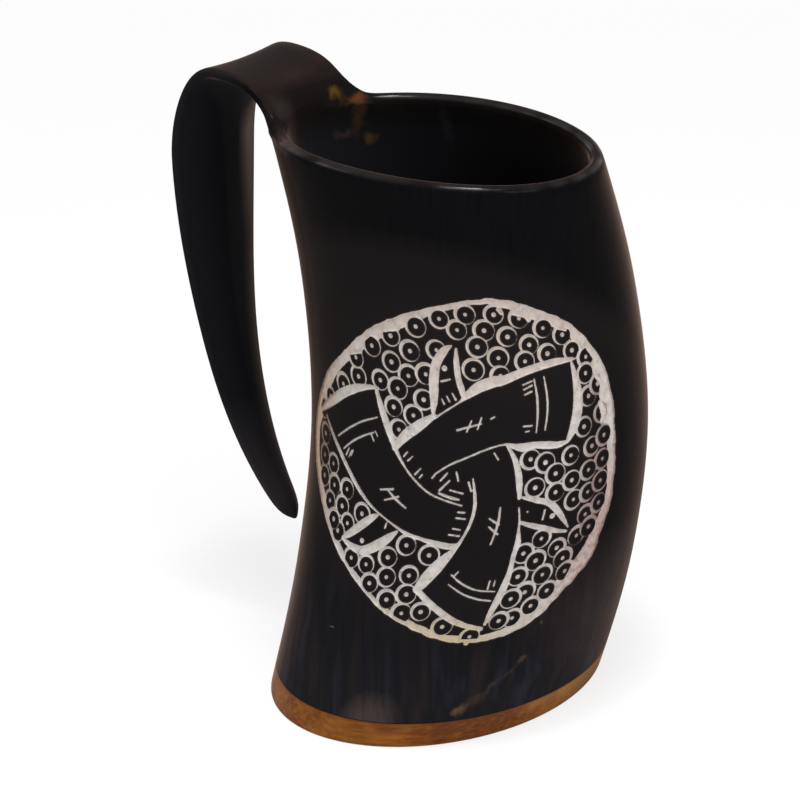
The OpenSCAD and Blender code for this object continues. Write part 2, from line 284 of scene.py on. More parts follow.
def through_three(low_value, mid_value, top_value, t):
    """A smooth value from t = 0 to 1, given at the bottom, half way and at the rim."""
    low_part, top_part = low_value * (1 - t) * (1 - 2 * t), top_value * t * (2 * t - 1)
    return low_part + 4 * mid_value * t * (1 - t) + top_part


def sway(values, t):
    """The centre line of the horn: a smooth curve through five values, evenly spaced up the cup."""
    values = np.array(values, float)
    step, slope = 0.25, np.diff(values) / 0.25
    inner = (slope[:-1] + slope[1:]) / 2
    slopes = np.array([1.5 * slope[0] - 0.5 * inner[0], *inner, 1.5 * slope[-1] - 0.5 * inner[-1]])
    i = np.clip((t / step).astype(int), 0, 3)
    u = t / step - i
    return ((2 * u**3 - 3 * u**2 + 1) * values[i] + (u**3 - 2 * u**2 + u) * step * slopes[i]
            + (3 * u**2 - 2 * u**3) * values[i + 1] + (u**3 - u**2) * step * slopes[i + 1])


def oval(z):
    """Half widths, turn and centre of the wall's outside at height z, in mm."""
    t = z / RIM
    return (through_three(*HALF_X, t), through_three(*HALF_Y, t), BASE_TURN * (1 - t),
            sway(SWAY_X, t), sway(SWAY_Y, t))


def ruler(points):
    """For points in mm: s and h on the wall, and how far out they are (1 is the outer surface)."""
    a, b, turn, x, y = oval(np.clip(points[:, 2], 0, RIM))
    dx, dy = points[:, 0] - x, points[:, 1] - y
    along = (dx * np.cos(turn) + dy * np.sin(turn)) / a
    across = (-dx * np.sin(turn) + dy * np.cos(turn)) / b
    angle = np.arctan2(across, along) + turn - ZERO_ANGLE
    angle = (angle + np.pi) % (2 * np.pi) - np.pi
    return RULER_RADIUS * angle, points[:, 2] - ZERO_HEIGHT, np.hypot(along, across)


def on_wall(s, h, inset):
    """The point of the oval at s and h, kept inset mm inside its outer surface."""
    a, b, turn, x, y = oval(h + ZERO_HEIGHT)
    angle = s / RULER_RADIUS + ZERO_ANGLE - turn
    along, across = (a - inset) * np.cos(angle), (b - inset) * np.sin(angle)
    return np.stack([x + along * np.cos(turn) - across * np.sin(turn),
                     y + along * np.sin(turn) + across * np.cos(turn), h + ZERO_HEIGHT], 1)


def is_outside(out):
    """Whether a point lies on the wall's outer surface, by how far out it is."""
    return (out > 0.95) & (out < 1.05)


def vertices(piece):
    """The points of a piece, in mm."""
    points = np.empty(len(piece.data.vertices) * 3)
    piece.data.vertices.foreach_get("co", points)
    return points.reshape(-1, 3) / MM


print("points on the outer wall:", int(is_outside(ruler(vertices(horn))[2]).sum()))

# %% [markdown]
# ## The plan of the carving
# A ring of scraped border holds three drinking horns, each passing under the next: an old northern
# sign. The ground between is filled with ring and dot marks. Everything is given as the carver
# would set it out: points on the paper, with the width of the knife stroke there.

# %% Border: s along the wall, h up it, and the width of the scraping there, in mm
BORDER = [(-52.2, 2, 4.0), (-48.8, 10.3, 4.2), (-41.8, 19.6, 3.2), (-34.6, 26, 2.6),
          (-25, 34.4, 3.4), (-15, 40.2, 3.0), (-5, 44, 1.8), (5, 46.4, 1.3), (12, 46.4, 2.0),
          (20, 43.7, 3.0), (30, 38.2, 3.0), (37.5, 29.8, 3.8), (42, 21.0, 4.8), (43.8, 10, 4.2),
          (44.4, 0, 3.2), (44.4, -11, 3.2), (42.8, -16.9, 3.8), (41.6, -20.7, 4.4),
          (40.5, -25.2, 5.4), (38.4, -27.8, 5.6), (35.8, -30.2, 5.2), (31.1, -34.3, 4.8),
          (26.2, -38.9, 4.2), (21.4, -41.3, 3.2), (16.5, -42.6, 2.2), (9.9, -43.0, 2.0),
          (2.2, -42.0, 2.0), (-7.1, -38.6, 2.0), (-15, -35.2, 1.5), (-25, -29, 1.6),
          (-35, -22.3, 2.3), (-45.4, -13.0, 3.2), (-51.2, -5.6, 4.0)]
print("border points:", len(BORDER))

# %% [markdown]
# The three horns and their tips stay uncut and dark. Their outlines stop the ring marks, and the
# knife strokes along their edges part them from each other and from the ground.

# %% Uncut shapes: the three horns with the knot between them, and their three tips
HORNS = [(-16.5, 7.0), (-12, 11), (-7, 15.2), (0, 20.2), (5, 22.8), (10, 24.3), (15, 26),
         (20, 27.2), (25, 27.8), (29, 28.3), (29.5, 24), (29.6, 20), (29.3, 16), (28.3, 12),
         (27, 8.7), (20, 9.5), (12, 9.8), (13, 5), (14, 0), (15.2, -6), (15.7, -10), (15.6, -15),
         (15.2, -20), (14.0, -28), (12.6, -34), (12, -38.6), (6, -36.6), (0, -33.2), (-5.3, -28.4),
         (-3, -24), (0.3, -19), (1.2, -15.8), (-4, -14.8), (-9, -14.2), (-14, -13.1), (-20, -10.8),
         (-24, -8.6), (-28, -5.8), (-32, -2.4), (-36, 1.1), (-40, 4.6), (-45.5, 7.2), (-40, 11),
         (-35, 14.6), (-30, 17.4), (-24, 19.6), (-22.4, 15.3), (-20.5, 10.8)]
TIPS = [[(-21.3, -12.5), (-25, -16.4), (-30.5, -20), (-24, -20), (-20, -17.7), (-15.6, -14),
         (-16, -12.4), (-20, -10.8)],
        [(16, -5), (20, -6.4), (22.5, -7.4), (25, -9.8), (29.6, -15), (26, -14), (22, -12.5),
         (16.5, -10.6)],
        [(-6.1, 18), (-5.6, 22), (-4.8, 27.5), (-3.2, 32), (-1.4, 34), (-1.8, 30), (-1.5, 26),
         (-0.4, 21), (-1, 20)]]
print("outline points:", len(HORNS) + sum(len(tip) for tip in TIPS))

# %% [markdown]
# The knife strokes draw the edges of the horns and tips, the bands round them and the small ticks.
# Each is given by a few points and its width there, because a blade leaves a line that swells and
# tapers, which a line of one width or a sharp-edged picture wouldn't.

# %% Knife strokes: points (s, h, width), and round dots (s, h, radius)
STROKES = [
    # first horn: upper edge, mouth, lower edge
    [(-17.6, 6.6, 1.6), (-14.6, 10.3, 2.6), (-10.6, 13.6, 2.6), (-7.0, 16.3, 1.3)],
    [(-7.0, 15.6, 0.5), (-4, 17.8, 0.5), (-0.5, 20.2, 0.55), (1.5, 22.0, 1.8), (4.5, 24.1, 2.8),
     (8, 25.4, 2.8), (11, 25.9, 2.4), (15, 27.3, 2.2), (20, 28.5, 2.1), (25, 29.1, 1.9),
     (29.8, 29.0, 1.0)],
    [(29.4, 28.4, 0.7), (30.3, 24.5, 1.8), (30.9, 20, 2.8), (30.7, 16, 3.1), (29.6, 12, 2.8),
     (27.8, 8.8, 1.4)],
    [(27.6, 8.3, 0.9), (25, 8.0, 1.7), (22, 8.4, 2.0), (18, 8.9, 1.8), (15.5, 8.6, 2.2),
     (13, 9.1, 1.4), (10.5, 9.7, 0.5), (6, 8.5, 0.5), (1, 6.3, 0.5), (-3, 4.3, 0.5),
     (-6.6, 1.6, 0.45)],
    # second horn: mouth, upper edge, lower edge
    [(-47, 7.6, 1.4), (-43, 10.3, 2.2), (-39, 13.0, 2.6), (-35, 15.8, 2.6), (-30, 18.4, 2.1),
     (-25.5, 19.9, 1.3), (-22.6, 20.3, 0.8)],
    [(-23.2, 20, 1.0), (-21.6, 15.5, 1.9), (-19.6, 11, 2.1), (-17.6, 6.8, 1.4), (-15, 3, 0.65),
     (-12, -0.1, 0.6), (-8, -3, 0.55), (-4, -4.5, 0.5), (1, -5.8, 0.5)],
    [(-43.5, 7.2, 0.8), (-40.2, 4, 1.2), (-36, 0.4, 1.4), (-32, -3.1, 1.3), (-28, -6.4, 1.2),
     (-24, -9.1, 0.8), (-20, -11, 0.5), (-15.5, -12.9, 0.6), (-12, -14.3, 1.0), (-8, -15.1, 1.0),
     (-4, -15.9, 1.5), (-1, -16.4, 1.7), (1.4, -16.0, 0.9)],
    # third horn: left edge, mouth, right edge, right edge above the crossing
    [(3.2, 1.2, 0.4), (4.0, -3, 0.8), (4.3, -6.5, 0.9), (3.7, -10.5, 0.8), (2.3, -14.3, 0.8),
     (0.6, -17.4, 1.4), (-2, -20.8, 3.0), (-4.6, -24.6, 3.3), (-6.7, -28.2, 2.2)],
    [(-6.6, -28.4, 1.6), (-3, -31.4, 1.7), (0.5, -34, 1.8), (4, -36.3, 1.7), (8, -38.1, 1.4),
     (11.6, -39.2, 1.3)],
    [(12.4, -38, 0.8), (13.4, -34, 1.7), (14.9, -29, 2.1), (15.8, -24, 1.5), (16.0, -19.5, 1.3),
     (16.5, -16.4, 1.6), (16.2, -13, 0.8), (16, -10, 0.55), (15.5, -7, 0.45)],
    [(15.3, -4.4, 1.0), (15.0, -1, 1.7), (14.4, 2.5, 1.7), (13.3, 6, 1.3), (11.3, 9.5, 0.6)],
    # tips: the two blades of each
    [(-20.8, -11.1, 0.7), (-23, -12.7, 2.0), (-26, -15.4, 2.3), (-29, -18.1, 2.0),
     (-31.6, -20.1, 0.8)],
    [(-31.6, -20.2, 0.8), (-28, -21.1, 1.8), (-24, -21.2, 2.4), (-20.2, -19.1, 2.7),
     (-17.2, -16.6, 2.3), (-14.8, -14.2, 0.8)],
    [(16.3, -4.4, 0.8), (20, -5.6, 1.5), (23.2, -6.8, 1.6), (25.7, -9, 1.8), (28, -12, 1.3),
     (29.9, -14.7, 0.5)],
    [(16.3, -10.9, 0.8), (19, -12, 1.3), (23, -13.5, 1.5), (26.5, -14.9, 1.2), (29.6, -15.8, 0.7)],
    [(-1.9, 34.2, 0.5), (-3.9, 32.7, 2.0), (-6.1, 29.2, 2.4), (-6.9, 25, 2.6), (-7.0, 20.8, 2.2),
     (-7.3, 17.2, 1.1)],
    [(-0.8, 33.4, 0.7), (-0.9, 30, 1.5), (-0.6, 26, 1.6), (0.2, 23, 1.6), (0.5, 21, 0.7)],
    # band lines near the mouths
    [(18.6, 25.5, 0.4), (19.2, 21, 0.65), (19.2, 16, 0.6), (18.8, 12, 0.4)],
    [(21.3, 25.8, 0.4), (21.9, 21, 0.6), (21.9, 17, 0.55), (21.2, 12.3, 0.45)],
    [(-37.4, 4.2, 0.45), (-33, 7.5, 0.55), (-28, 10.7, 0.5), (-23, 13, 0.4)],
    [(-34.8, 1.8, 0.4), (-31, 5, 0.55), (-27, 7.5, 0.5), (-24, 9, 0.4)],
    [(1.2, -23.8, 0.45), (4, -26, 0.55), (8, -28, 0.5), (13, -28.9, 0.4)],
    [(1, -26.4, 0.4), (5, -29, 0.5), (9, -30.6, 0.55), (12.5, -31.4, 0.45)],
    # marks half way along each horn
    [(-1.2, 13.2, 0.6), (2, 14.2, 0.55), (4.9, 15.0, 0.4)], [(1.2, 12.9, 0.4), (2.4, 15.7, 0.45)],
    [(3.9, 13.6, 0.4), (4.9, 16.5, 0.45)], [(7.2, 16.2, 0.4), (8.2, 16.7, 0.5)],
    [(-18.9, -4.3, 0.5), (-16, -6.3, 0.7), (-13.2, -7.9, 0.5)],
    [(-21, -4.7, 0.5), (-17.3, -3.8, 0.6)], [(-19.4, -7, 0.5), (-15.6, -5.4, 0.6)],
    [(10.7, -6.5, 0.5), (10.6, -11, 0.7), (9.6, -16, 0.45)],
    [(8.3, -9.2, 0.5), (10.9, -10.9, 0.6)], [(8.5, -11.4, 0.5), (10.9, -13.4, 0.6)],
    # ticks beside the bands
    [(15.6, 24.3, 0.45), (18, 25.1, 0.45)], [(15.8, 23.1, 0.5), (18, 24, 0.5)],
    [(15.9, 21.8, 0.5), (17.9, 22.5, 0.5)], [(15.5, 13.9, 0.5), (17.7, 13.9, 0.5)],
    [(16, 12.5, 0.4), (17, 12.6, 0.4)], [(-25, 8.5, 0.5), (-24, 6.9, 0.5)],
    [(-23.6, 9.4, 0.4), (-22.8, 8.3, 0.4)], [(-33.6, 0.6, 0.5), (-32.6, 2.6, 0.5)],
    [(-32.6, 0.3, 0.4), (-31.6, 2.3, 0.4)], [(-31.7, 1.0, 0.4), (-31, 2.6, 0.4)],
    [(1.8, -24.3, 0.5), (2.8, -23, 0.5)], [(11.2, -25.9, 0.5), (11.0, -28, 0.5)],
    [(12.5, -25.8, 0.4), (12.4, -27.4, 0.4)],
    # ticks where the horns cross
    [(-15, 4.9, 0.45), (-14, 6.2, 0.45)], [(-13.8, 4.1, 0.5), (-12.5, 5.4, 0.4)],
    [(-11.6, 1.0, 0.6), (-10.2, 2.7, 0.4)], [(-10.4, 0.3, 0.5), (-9.7, 1.2, 0.4)],
    [(-7.1, 0.7, 0.5), (-5.9, 2.2, 0.4)], [(-4.9, 0.2, 0.5), (-3.3, 2.3, 0.5)],
    [(-5, -2.3, 0.6), (-2.6, 0.4, 0.5)], [(-1.0, 2.7, 0.5), (-0.4, 0.5, 0.6)],
    [(-2.3, -2, 0.5), (1, -2.7, 0.5)], [(-5, -3, 0.6), (-2, -3.9, 0.8), (0.2, -4.3, 0.5)],
    [(2.2, 0.2, 0.6), (3, -2, 0.5)], [(0.3, -7.5, 0.5), (2, -7.6, 0.5)],
    [(0, -9, 0.5), (2.3, -9.2, 0.5)], [(-0.4, -11.8, 0.5), (1.4, -12, 0.5)],
    [(-1.2, -13.4, 0.5), (1.4, -13.6, 0.5)], [(8.2, 7.6, 0.5), (9.2, 6, 0.5)],
    [(-5.0, 20.6, 0.4), (-4.4, 19.4, 0.5)], [(-3.7, 21.4, 0.4), (-3.0, 20.1, 0.5)],
    [(-2.3, 22.3, 0.45), (-1.5, 20.8, 0.6)], [(-5, 25, 0.6), (-2.7, 25.7, 0.5)],
    [(22.5, -8.6, 0.6), (22.2, -11, 0.6)], [(-18, -12.6, 0.5), (-18.3, -14, 0.5)],
    # where the border's scraping ran over a mark
    [(-31.9, 26.9, 1.4), (-27.8, 28.3, 1.4)], [(-20.0, 35.7, 1.6), (-15.9, 36.8, 1.6)],
    [(14.4, 42.9, 1.4), (17.5, 42.1, 1.8), (18.4, 40.7, 1.2)],
    [(10.6, 43.8, 1.0), (11.3, 42.7, 0.8)],
    [(37.4, 22.9, 1.4), (39.4, 20.3, 2.0), (38.6, 18.4, 1.2)],
    [(38.4, 15.6, 2.0), (39.8, 12.9, 2.6), (39.0, 10.8, 2.0)],
    [(26.2, 37.7, 0.9), (28.5, 36.8, 0.9)],
    [(34.4, -25.6, 1.8), (33.4, -28.4, 2.0), (31.9, -30.9, 1.6)],
]
DOTS = [(-24.6, -18.8, 0.7), (24.8, -10.6, 0.75), (-4, 28.3, 0.75), (17.8, -8.3, 0.3),
        (8.9, -43.0, 0.7)]
print("strokes:", len(STROKES), "dots:", len(DOTS))

# %% [markdown]
# The marks of the ground are all made with one tool, a ring with a dot in its middle, so only their
# centres are listed. They are listed in the order in which they are pressed in.

# %% Ring and dot marks: their centres (s, h), and the size of the tool
MARKS = [(-0.2, 38.3), (-4.5, 40.8), (-10.8, 38), (-18, 34.4), (-12.8, 31.5), (-23.9, 30.6),
         (-18.2, 27.8), (-13.6, 25.2), (-5.8, 32.7), (-8.9, 26.3), (-21.8, 22.5), (-16.7, 21.5),
         (-9.7, 19.9), (-18, 16.7), (-12.5, 15.6), (-16.5, 11.4), (-29, 21.6), (-35, 18),
         (-41.3, 12.8), (-29.6, 26.2), (-45.5, 8.5), (2.2, 42.4), (9.4, 42.5), (6.6, 38.4),
         (4.6, 34.2), (12.4, 36.7), (9.7, 31.4), (3.3, 28.4), (10, 26.9), (15.8, 41.3),
         (17.9, 34.3), (16.5, 30.2), (22, 38.2), (22.7, 31.5), (27.4, 35.7), (29.9, 31.2),
         (34.2, 28.6), (33.7, 24.5), (34.3, 18.5), (32.6, 11), (17.5, 5.4), (21.5, 4), (28.7, 4.5),
         (35.3, 5.3), (24.5, 0.6), (38.6, 13.2), (39.5, 7), (39.2, 0.8), (37.6, 20.8),
         (19.2, -2.2), (24.9, -4.4), (29.4, -2.2), (34.5, -0.8), (30.5, -7.6), (34.9, -6.8),
         (39, -5), (35, -12.8), (39.2, -11), (33.1, -18), (22.7, -16.2), (27.6, -19.8),
         (18.5, -19.4), (22.2, -22), (30, -23.2), (18.2, -25.6), (24.9, -26.4), (21, -30.4),
         (17.6, -31.6), (31.5, -27.2), (27.2, -31.4), (23.5, -34.8), (19.2, -37.3), (15.8, -37.5),
         (36.8, -16.7), (1.8, -38), (9.3, -41.2), (-11.6, -17.2), (-5.3, -19), (-16.1, -21.1),
         (-22.1, -24.3), (-9.5, -24.8), (-15.5, -26.2), (-27.2, -24), (-20, -28.8), (-9.2, -29.8),
         (-14.2, -32), (-9.4, -35), (-4.5, -34.1), (-32.2, -7.8), (-25.9, -12.2), (-33.4, -12.5),
         (-39, -3.5), (-37.7, -8.5), (-39, -13), (-30.5, -16), (-33.8, -19), (-43.2, -8),
         (-44, -3), (-44, 2.5), (-36.2, -16.8)]
MARK_RADIUS, MARK_LINE, MARK_DOT = 2.5, 0.58, 0.58  # mm: ring, width of its line, and dot
print("marks:", len(MARKS))

# %% [markdown]
# ## From the plan to a distance
# A cut could be drawn as an image, but an image has a grid and blurs. Here each point of the horn
# asks how far it is from the nearest cut, which gives both a mask and a depth as sharp as the mesh.
# Less than 0 is inside the cut. The smaller of two distances joins two cuts, and the larger one
# with a sign turned takes one from the other.

# %% Curves and distances
NOWHERE, FAR_AWAY = 9.0, 99.0  # mm: further from any cut, or from any line, than matters
BESIDE = 3  # mm: how far round a stroke its distance is worked out


def smooth_path(points, closed=False, parts=6):
    """A smooth curve through rows of numbers, with this many parts from one row to the next."""
    p = np.array(points, float)
    if len(p) == 2 and not closed:
        return p
    ends = np.vstack([p[-1:], p, p[:2]] if closed else [2 * p[0] - p[1], p, 2 * p[-1] - p[-2]])
    u = (np.arange(parts) / parts)[:, None]
    spans = [0.5 * (2 * b + (c - a) * u + (2 * a - 5 * b + 4 * c - d) * u**2
                    + (3 * b - a - 3 * c + d) * u**3)
             for a, b, c, d in zip(ends[:-3], ends[1:-2], ends[2:-1], ends[3:])]
    return np.vstack(spans + ([] if closed else [p[-1:]]))


def to_line(where, start, end):
    """Distance from points to one straight piece, and how far along it they are."""
    run = end[:2] - start[:2]
    share = np.clip(((where - start[:2]) @ run) / max(run @ run, 1e-9), 0, 1)
    return np.hypot(*(where - start[:2] - share[:, None] * run).T), share


def stroke_field(where, stroke):
    """Signed distance to a knife stroke, whose width changes along it."""
    path = smooth_path(stroke)
    field = np.full(len(where), NOWHERE)
    low, high = path[:, :2].min(0) - BESIDE, path[:, :2].max(0) + BESIDE
    near = np.where(((where > low) & (where < high)).all(1))[0]
    for a, b in zip(path[:-1], path[1:]):
        gap, share = to_line(where[near], a, b)
        field[near] = np.minimum(field[near], gap - (a[2] + (b[2] - a[2]) * share) / 2)
    return field


def shape_field(where, outline):
    """Signed distance to a closed shape with straight sides: negative inside."""
    path = np.array(outline, float)
    gap, inside = np.full(len(where), FAR_AWAY), np.zeros(len(where), bool)
    for a, b in zip(path, np.roll(path, -1, axis=0)):
        gap = np.minimum(gap, to_line(where, a, b)[0])
        crosses = (a[1] > where[:, 1]) != (b[1] > where[:, 1])
        reach = (b[0] - a[0]) * (where[:, 1] - a[1]) / (b[1] - a[1] + 1e-12) + a[0]
        inside ^= crosses & (where[:, 0] < reach)
    return np.where(inside, -gap, gap)


def wobble(where, size, seed):
    """Smooth unevenness from -1 to 1 with bumps about size mm across."""
    rng = np.random.default_rng(seed)
    total = np.zeros(len(where))
    for _ in range(7):
        turn, step = rng.uniform(0, 2 * np.pi), rng.uniform(0.7, 1.5) * size
        across = where @ [np.cos(turn), np.sin(turn)]
        total += np.sin(across * 2 * np.pi / step + rng.uniform(0, 6.3))
    return total / 3.5


middle = np.zeros((1, 2))
print("from the middle to the border, mm:", shape_field(middle, np.array(BORDER)[:, :2]).round(1))

# %% [markdown]
# The border is scraped from the roundel's edge inwards, to a width that changes round it, and more
# raggedly at the lower right. The knife goes round the marks that it meets, so whole rings stand
# in front of it, and only its outer half runs through them.

# %% The border
OUTER_SHARE = 0.55  # of the border's width, which runs through the marks


def scraping(where, edge):
    """Distance to the scraped border, and to the outer half of it that runs through the marks."""
    border = smooth_path(BORDER, closed=True, parts=5)
    best, width = np.full(len(where), FAR_AWAY), np.zeros(len(where))
    for a, b in zip(border, np.roll(border, -1, axis=0)):
        gap, share = to_line(where, a, b)
        closer = gap < best
        best[closer] = gap[closer]
        width[closer] = (a[2] + (b[2] - a[2]) * share)[closer]
    ragged = 0.03 * wobble(where, 0.9, 7)
    outer_half = np.maximum(edge, -(edge + OUTER_SHARE * width + ragged))
    return np.maximum(edge, -(edge + width)), outer_half


def roundel_edge(where):
    """Distance to the roundel's edge, less than 0 inside it, with the knife's unevenness."""
    s, h = where.T
    edge = shape_field(where, smooth_path(BORDER, closed=True, parts=5)[:, :2])
    low_right = np.exp(-(((s - 38) / 12) ** 2 + ((h + 24) / 12) ** 2))
    far_right = np.exp(-(((s - 44) / 6) ** 2 + ((h - 2) / 12) ** 2))
    rough = 1 + 1.6 * low_right + 1.4 * far_right
    return edge + rough * (0.14 * wobble(where, 5.0, 3) + 0.05 * wobble(where, 1.6, 4))


print("edge from the middle, mm:", roundel_edge(middle).round(1))

# %% [markdown]
# A ring and dot mark is pressed in with one tool and a turn of the wrist. Each goes in over the
# ones before it, and deeper on one side, where its line is wider.

# %% Press the marks in
TOOL_REACH = 4.5  # mm: no mark is wider than this from its centre


def pressed_marks(where):
    """Distance to the nearest line or dot of the marks, and to the discs inside the rings."""
    rings, discs = np.full(len(where), NOWHERE), np.full(len(where), NOWHERE)
    rng = np.random.default_rng(11)
    for s, h in MARKS:
        size = MARK_RADIUS * rng.uniform(0.95, 1.06)
        away = where - [s, h]
        near = np.where(np.abs(away).max(1) < TOOL_REACH)[0]
        gap, turn = np.hypot(*away[near].T), np.arctan2(away[near, 1], away[near, 0])
        lean = 60 if s > 14 and h < -12 else 185 if s > 15 and h < 9 else 150  # the deeper side
        heavy = np.radians(rng.uniform(-35, 35) + lean)
        line = MARK_LINE * (1.0 + rng.uniform(0.35, 0.85) * np.cos(turn - heavy))
        ring = np.abs(gap - size) - line / 2
        dot = gap - MARK_DOT * rng.uniform(0.85, 1.15)
        fresh = np.maximum(rings[near], size - line / 2 - gap)  # clears the older marks inside it
        rings[near] = np.minimum(fresh, np.minimum(ring, dot))
        discs[near] = np.minimum(discs[near], gap - (size - line / 2))
    return rings, discs


print("mark line, mm:", MARK_LINE, "on a ring of radius", MARK_RADIUS)

# %% [markdown]
# The parts come together in the order of the work: marks stop at the horns and at the roundel's
# edge, the border goes round the marks, and the strokes go over everything, a little unevenly.

# %% All cuts together
def carve(where):
    """How far each point is outside (+) or inside (-) the nearest cut, in mm."""
    edge = roundel_edge(where)
    band, outer_half = scraping(where, edge)
    rings, discs = pressed_marks(where)
    horns = np.minimum.reduce([shape_field(where, outline) for outline in [HORNS] + TIPS])
    rings = np.maximum(np.maximum(rings, -horns), edge)
    band = np.minimum(outer_half, np.maximum(band, -discs))
    cuts = np.minimum.reduce([stroke_field(where, stroke) for stroke in STROKES])
    dots = [np.hypot(*(where - dot[:2]).T) - dot[2] for dot in np.array(DOTS)]
    cuts = np.minimum(cuts, np.minimum.reduce(dots))
    cuts = cuts + 0.035 * wobble(where, 2.2, 5) + 0.02 * wobble(where, 0.8, 6)
    return np.minimum.reduce([band, rings, cuts])


print("nearest cut to the middle, mm:", carve(middle).round(2))

# %% [markdown]
# ## A finer mesh where the knife goes
# Carving needs points closer together than the finest line is wide, about a quarter of a
# millimetre. The faces under the roundel are split in steps, each nearer to the edges of the cuts
# than the last, so the rest of the horn stays light. A multiresolution sculpt would split the whole
# horn as finely and be far too heavy.

# %% Helpers to split faces
def least_on_faces(piece, value):
    """The least value on each face, from a value per point."""
    mesh = piece.data
    corners = np.zeros(len(mesh.loops), int)
    mesh.loops.foreach_get("vertex_index", corners)
    starts = np.zeros(len(mesh.polygons), int)
    mesh.polygons.foreach_get("loop_start", starts)
    return np.minimum.reduceat(value[corners], starts)


def split(piece, kind, chosen):
    """Halves the chosen edges of a piece, or the edges of its chosen faces."""
    only(piece)
    mesh = piece.data
    for part in (mesh.vertices, mesh.edges, mesh.polygons):
        part.foreach_set("select", np.zeros(len(part), bool))
    bpy.ops.object.mode_set(mode="EDIT")
    bpy.ops.mesh.select_mode(type=kind)
    bpy.ops.object.mode_set(mode="OBJECT")
    (mesh.edges if kind == "EDGE" else mesh.polygons).foreach_set("select", chosen)
    bpy.ops.object.mode_set(mode="EDIT")
    bpy.ops.mesh.subdivide(number_cuts=1)
    bpy.ops.object.mode_set(mode="OBJECT")
    print("faces now:", len(piece.data.polygons))


# %% [markdown]
# The wall's faces are taller than wide, so their upright edges are halved first. Then the whole
# patch is halved, then what lies within 1.2 mm of the edge of a cut, and last within 0.42 mm.

# %% Split the faces under the roundel
PATCH = [(-60, -2), (-54, 20), (-36, 36), (0, 52), (22, 50), (46, 32), (50, 0), (46, -26),
         (24, -46), (-4, -46), (-40, -30), (-58, -12)]
ALL_OF_IT = FAR_AWAY


def under_patch(piece):
    """The points on the paper, and which of them lie on the outer wall under the roundel."""
    s, h, out = ruler(vertices(piece))
    paper = np.stack([s, h], 1)
    patch = smooth_path(PATCH, closed=True, parts=3)
    return paper, (shape_field(paper, patch) < 0) & is_outside(out)


paper, inside = under_patch(horn)
ends = np.zeros(len(horn.data.edges) * 2, int)
horn.data.edges.foreach_get("vertices", ends)
ends = ends.reshape(-1, 2)
rise, run = (np.abs(np.diff(paper[ends, axis], axis=1))[:, 0] for axis in (1, 0))
split(horn, "EDGE", (rise > run) & inside[ends].all(1))
for reach in (ALL_OF_IT, 1.2, 0.42):
    paper, inside = under_patch(horn)
    far = np.full(len(paper), np.inf)
    far[inside] = 0 if reach == ALL_OF_IT else np.abs(carve(paper[inside]))
    split(horn, "FACE", least_on_faces(horn, far) < reach)

# %% [markdown]
# ## Back onto the true oval
# Splitting leaves new points on flat faces, so each point of the outer wall goes back to the oval,
# a little inside it so that nothing leaves the CAD box. Near the rim this fades out, because there
# the wall rounds over into the lip and the handle.

# %% Onto the oval
INSET = 0.08  # mm inside the CAD surface
WALL_TOP, FADE = 140.0, 12.0  # the height where this ends, and over how much it fades out
points = vertices(horn)
s, h, out = ruler(points)
outer = is_outside(out) & (points[:, 2] > SEAM - 0.1) & (points[:, 2] < WALL_TOP)
fade = np.clip((WALL_TOP - points[:, 2]) / FADE, 0, 1)[outer, None]
points[outer] += (on_wall(s[outer], h[outer], INSET) - points[outer]) * fade
horn.data.vertices.foreach_set("co", (points * MM).ravel())
horn.data.update()
print("points put back:", int(outer.sum()))

# %% [markdown]
# ## How deep the knife goes
# A blade leaves sloping sides and an uneven bottom. The depth goes into a vertex group, which works
# as a sculptor's mask does, in 40 steps that are too fine to see. Known fault, not planned: a point
# whose uneven depth rounds past the last step gets no depth at all, and stands uncut as a speck.

# %% Depth of the cuts
DEEPEST, SLOPE, LEVELS = 0.45, 1.6, 40  # mm, mm down per mm in from the edge, and steps of depth
points = vertices(horn)
s, h, out = ruler(points)
paper, under = under_patch(horn)
cut = np.full(len(s), NOWHERE)
cut[under] = carve(paper[under])
depth = np.clip(-cut * SLOPE, 0, DEEPEST) / DEEPEST
depth *= 1 - 0.12 * (wobble(paper, 1.1, 8) + 1)
group = horn.vertex_groups.new(name="cut_depth")
for step in range(1, LEVELS + 1):
    level = np.where(np.round(depth * LEVELS).astype(int) == step)[0]
    group.add(level.tolist(), step / LEVELS, "REPLACE")
print("points wrongly left uncut:", int((np.round(depth * LEVELS) > LEVELS).sum()))

# %% [markdown]
# ## Where the horn gets painted light, is buffed or is bare
# The inside is scraped and greyer. The tops of the crest and the lip, and a little of the inside
# just below the rim, are browned as painted light, where light falls on them from above. A soft
# wheel buffs the rounded edges of the lip. These could be painted by hand on the mesh. Here they
# are worked out for each point from its height and the way it faces, and stored as attributes, so
# they follow the shape. The handle and the inside have no place on the paper, and nothing is drawn
# where its two ends meet.

# %% Attributes for the horn's finish
OFF_PAPER, BACK = 500, 100  # mm: far from every pattern on the paper, and where the back begins
SCRAPED_INSIDE = 0.965  # nearer to the centre line than this is the inside of the cup


def rising(value, start, full):
    """0 at start and 1 at full, which may be the lower of the two, and even in between."""
    return np.clip((value - start) / (full - start), 0, 1)


normals = np.zeros(len(s) * 3)
horn.data.vertices.foreach_get("normal", normals)
_, sideways, upwards = normals.reshape(-1, 3).T
x, scraped = points[:, 0], out < SCRAPED_INSIDE

# h is 75 at the rim, and the handle stands where x is less than -36
past_crest = rising(x, -44, -54)
facing_up = rising(upwards + 0.4 * past_crest, 0.5, 0.9) * rising(np.abs(sideways), 0.55, 0.35)
# painted light: the tops of the crest and the lip face up and are browned where light falls on them
crest = facing_up * rising(h, 68, 76) * rising(x, -36, -42) * (1 - 0.6 * past_crest)
lip_lit_top = rising(upwards, 0.6, 0.9) * rising(h, 71, 73)
near_rim = 0.3 * scraped * rising(h, 66, 72)
# all the painted light on the tops, with a little of it just inside the rim
lit_tops_and_rim = np.maximum.reduce([crest, 0.4 * lip_lit_top, near_rim])

